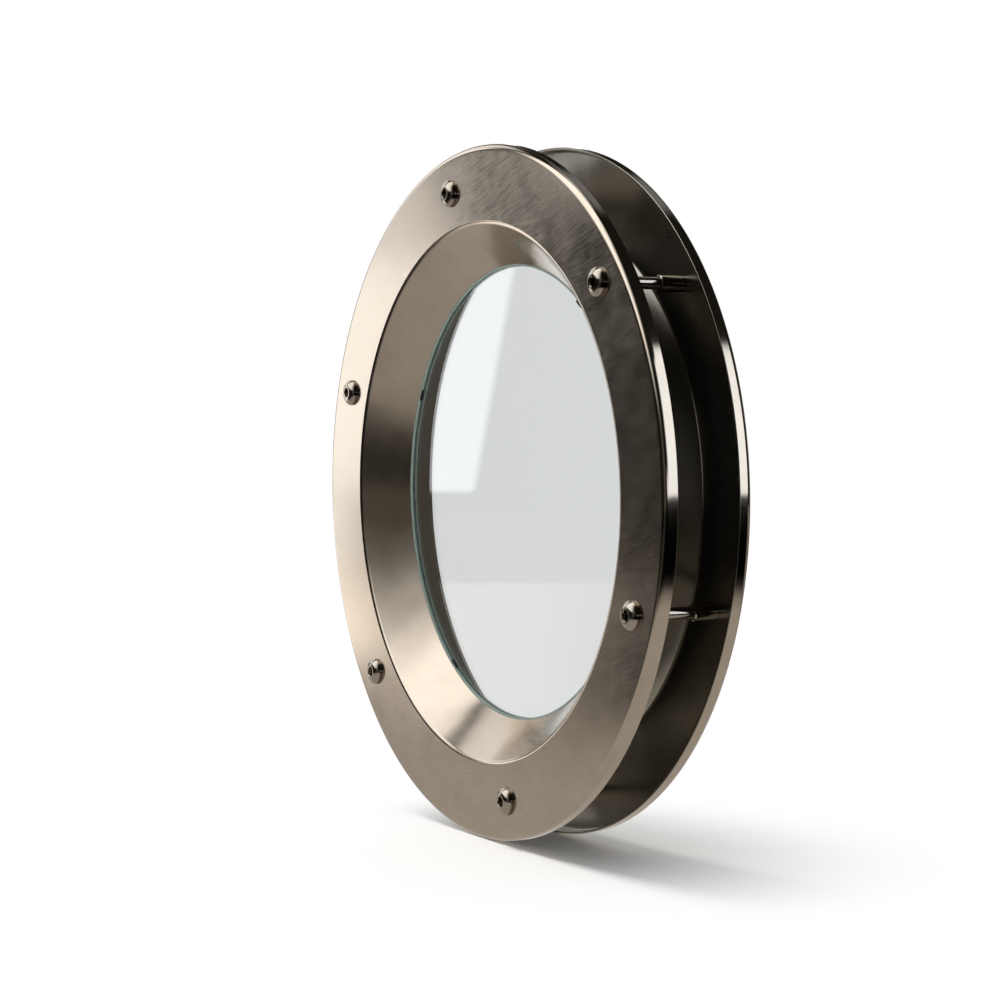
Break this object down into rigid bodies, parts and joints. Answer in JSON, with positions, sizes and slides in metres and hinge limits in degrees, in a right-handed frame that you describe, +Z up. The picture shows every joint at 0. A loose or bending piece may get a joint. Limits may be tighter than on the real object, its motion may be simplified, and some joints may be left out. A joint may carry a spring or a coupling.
{
  "type": "porthole window",
  "caption": "Round steel porthole window for a door leaf: two pressed rings clamp a glass pane and are drawn together by through-screws in sleeve nuts.",
  "frame": {"origin": "centre of the glass pane, midway between the two ring faces", "axes": "+Z up, +Y along the window's axis from the front (screw head side) to the rear, +X to the right as seen from the front"},
  "size_m": [0.35, 0.0542, 0.35],
  "materials": {
    "ring_steel": "brushed faces, polished rims",
    "fastener_steel": "polished",
    "pane_glass": "clear float glass",
    "channel_rubber": "matt black"
  },
  "bodies": {
    "root": {"front_ring": "ring_steel", "rear_ring": "ring_steel", "glass_pane": "pane_glass", "glazing_channel": "channel_rubber", "screw_1": "fastener_steel", "screw_2": "fastener_steel", "screw_3": "fastener_steel", "screw_4": "fastener_steel", "screw_5": "fastener_steel", "screw_6": "fastener_steel", "sleeve_nut_1": "fastener_steel", "sleeve_nut_2": "fastener_steel", "sleeve_nut_3": "fastener_steel", "sleeve_nut_4": "fastener_steel", "sleeve_nut_5": "fastener_steel", "sleeve_nut_6": "fastener_steel"}
  },
  "joints": []
}
